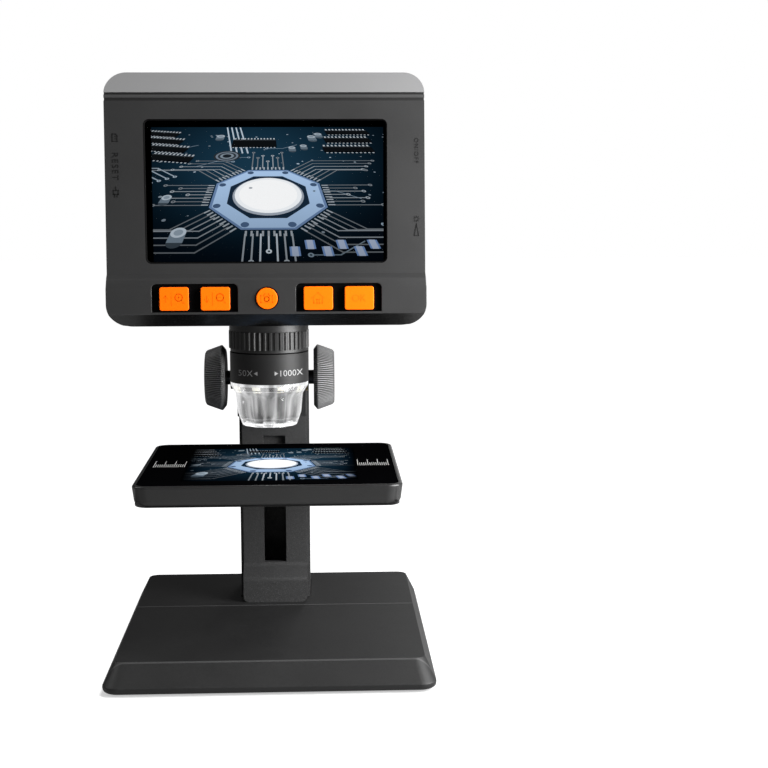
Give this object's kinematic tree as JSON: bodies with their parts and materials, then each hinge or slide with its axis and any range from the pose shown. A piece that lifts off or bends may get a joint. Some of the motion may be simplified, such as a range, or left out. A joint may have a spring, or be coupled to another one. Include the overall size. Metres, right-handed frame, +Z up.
{
  "type": "desktop microscope with built-in screen",
  "caption": "Desktop digital microscope with a built-in screen, focus ring, rack and pinion lift, sliding stage and weighted base",
  "frame": {"origin": "On the desk under the middle of the base; the desk touches the rubber feet at z = 0.", "axes": "+X is the user's right, +Y points away from the user who looks at the screen, +Z is up."},
  "size_m": [0.1378, 0.16, 0.2534],
  "materials": {
    "base_plastic": "satin dark grey",
    "steel_sheet": "powder coated",
    "weight_steel": "raw",
    "zinc_steel": "zinc plated",
    "black_screws": "black oxide",
    "foot_rubber": "moulded",
    "black_metal": "anodised black",
    "rack_steel": "milled",
    "brass_bush": "turned",
    "knob_plastic": "moulded with fine ribs",
    "stage_plastic": "satin dark grey",
    "stage_glass": "printed from behind, glossy",
    "head_plastic": "satin dark grey",
    "top_plastic": "satin light grey",
    "window_glass": "clear, glossy",
    "display": "lit picture",
    "tray_metal": "pressed",
    "circuit_board": "solder resist",
    "battery_wrap": "shrink wrap",
    "switch_black": "moulded",
    "orange_keys": "satin orange",
    "socket_metal": "bright plate",
    "tube_black": "semi gloss",
    "lens_glass": "coated",
    "lamp_white": "white lamps",
    "clear_cap": "clear acrylic"
  },
  "bodies": {
    "stand": {"base_front_cover": "base_plastic", "base_rear_cover": "base_plastic", "base_weight": "weight_steel", "bottom_plate": "steel_sheet", "rubber_feet": "foot_rubber", "base_screws": "zinc_steel", "column_channel": "steel_sheet", "column_front_plate": "steel_sheet", "column_spacers": "zinc_steel", "column_rail": "black_metal", "gear_rack": "rack_steel", "column_cap": "base_plastic", "column_screws": "black_screws"},
    "head": {"carriage_block": "black_metal", "carriage_cover": "black_metal", "carriage_screws": "black_screws", "shaft_bushes": "brass_bush", "front_bezel": "head_plastic", "rear_shell": "head_plastic", "top_cover": "top_plastic", "housing_screws": "black_screws", "screen_window": "window_glass", "lcd_panel": "display", "lcd_frame": "tray_metal", "main_board": "circuit_board", "battery": "battery_wrap", "key_board": "circuit_board", "key_switches": "switch_black", "control_bodies": "switch_black", "side_sockets": "socket_metal", "reset_switch": "switch_black", "tube_sleeve": "tube_black", "scale_band": "tube_black", "sensor_board": "circuit_board", "led_board": "circuit_board", "led_lamps": "lamp_white", "light_cap": "clear_cap"},
    "knobs": {"knob_shaft": "rack_steel", "pinion_gear": "rack_steel", "tension_collar": "black_metal", "left_knob": "knob_plastic", "right_knob": "knob_plastic", "knob_screws": "zinc_steel"},
    "stage": {"stage_frame": "stage_plastic", "stage_glass": "stage_glass", "stage_bracket": "steel_sheet", "stage_screws": "zinc_steel"},
    "clamp": {"clamp_bolt": "zinc_steel", "clamp_washer": "zinc_steel", "clamp_knob": "knob_plastic"},
    "focus": {"focus_grip": "tube_black"},
    "barrel": {"lens_barrel": "tube_black", "lenses": "lens_glass"},
    "slider": {"power_slider": "switch_black"},
    "dimmer": {"dimmer_wheel": "knob_plastic"},
    "zoom_in_button": {"zoom_in_key": "orange_keys"},
    "zoom_out_button": {"zoom_out_key": "orange_keys"},
    "capture_button": {"capture_key": "orange_keys"},
    "home_button": {"home_key": "orange_keys"},
    "ok_button": {"ok_key": "orange_keys"}
  },
  "joints": [
    {"name": "head_lift", "type": "slide", "parent": "stand", "child": "head", "axis": [0, 0, 1], "range_m": [-0.0015, 0.04]},
    {"name": "knob_turn", "type": "hinge", "parent": "head", "child": "knobs", "pos_m": [0, 0.005, 0.121], "axis": [1, 0, 0], "range_deg": [-329, 14]},
    {"name": "stage_slide", "type": "slide", "parent": "stand", "child": "stage", "axis": [0, 0, 1], "range_m": [-0.045, 0.004]},
    {"name": "clamp_turn", "type": "hinge", "parent": "stage", "child": "clamp", "pos_m": [-0.0236, 0.044, 0.074], "axis": [-1, 0, 0], "range_deg": [-180, 0]},
    {"name": "focus_turn", "type": "hinge", "parent": "head", "child": "focus", "pos_m": [0, -0.0326, 0.14145], "axis": [0, 0, 1], "range_deg": [-151, 151]},
    {"name": "barrel_slide", "type": "slide", "parent": "head", "child": "barrel", "axis": [0, 0, 1], "range_m": [-0.003, 0.003]},
    {"name": "power_slide", "type": "slide", "parent": "head", "child": "slider", "axis": [0, 0, 1], "range_m": [0, 0.004]},
    {"name": "dimmer_turn", "type": "hinge", "parent": "head", "child": "dimmer", "pos_m": [0.05905, -0.04, 0.1886], "axis": [0, 1, 0], "range_deg": [-135, 135]},
    {"name": "zoom_in_press", "type": "slide", "parent": "head", "child": "zoom_in_button", "axis": [0, 1, 0], "range_m": [0, 0.0006], "stiffness_N_per_m": 300},
    {"name": "zoom_out_press", "type": "slide", "parent": "head", "child": "zoom_out_button", "axis": [0, 1, 0], "range_m": [0, 0.0006], "stiffness_N_per_m": 300},
    {"name": "capture_press", "type": "slide", "parent": "head", "child": "capture_button", "axis": [0, 1, 0], "range_m": [0, 0.0006], "stiffness_N_per_m": 300},
    {"name": "home_press", "type": "slide", "parent": "head", "child": "home_button", "axis": [0, 1, 0], "range_m": [0, 0.0006], "stiffness_N_per_m": 300},
    {"name": "ok_press", "type": "slide", "parent": "head", "child": "ok_button", "axis": [0, 1, 0], "range_m": [0, 0.0006], "stiffness_N_per_m": 300}
  ],
  "couplings": [
    {"joint": "knob_turn", "follows": "head_lift", "rad_per_m": -142.86},
    {"joint": "focus_turn", "follows": "barrel_slide", "rad_per_m": 872.66}
  ]
}
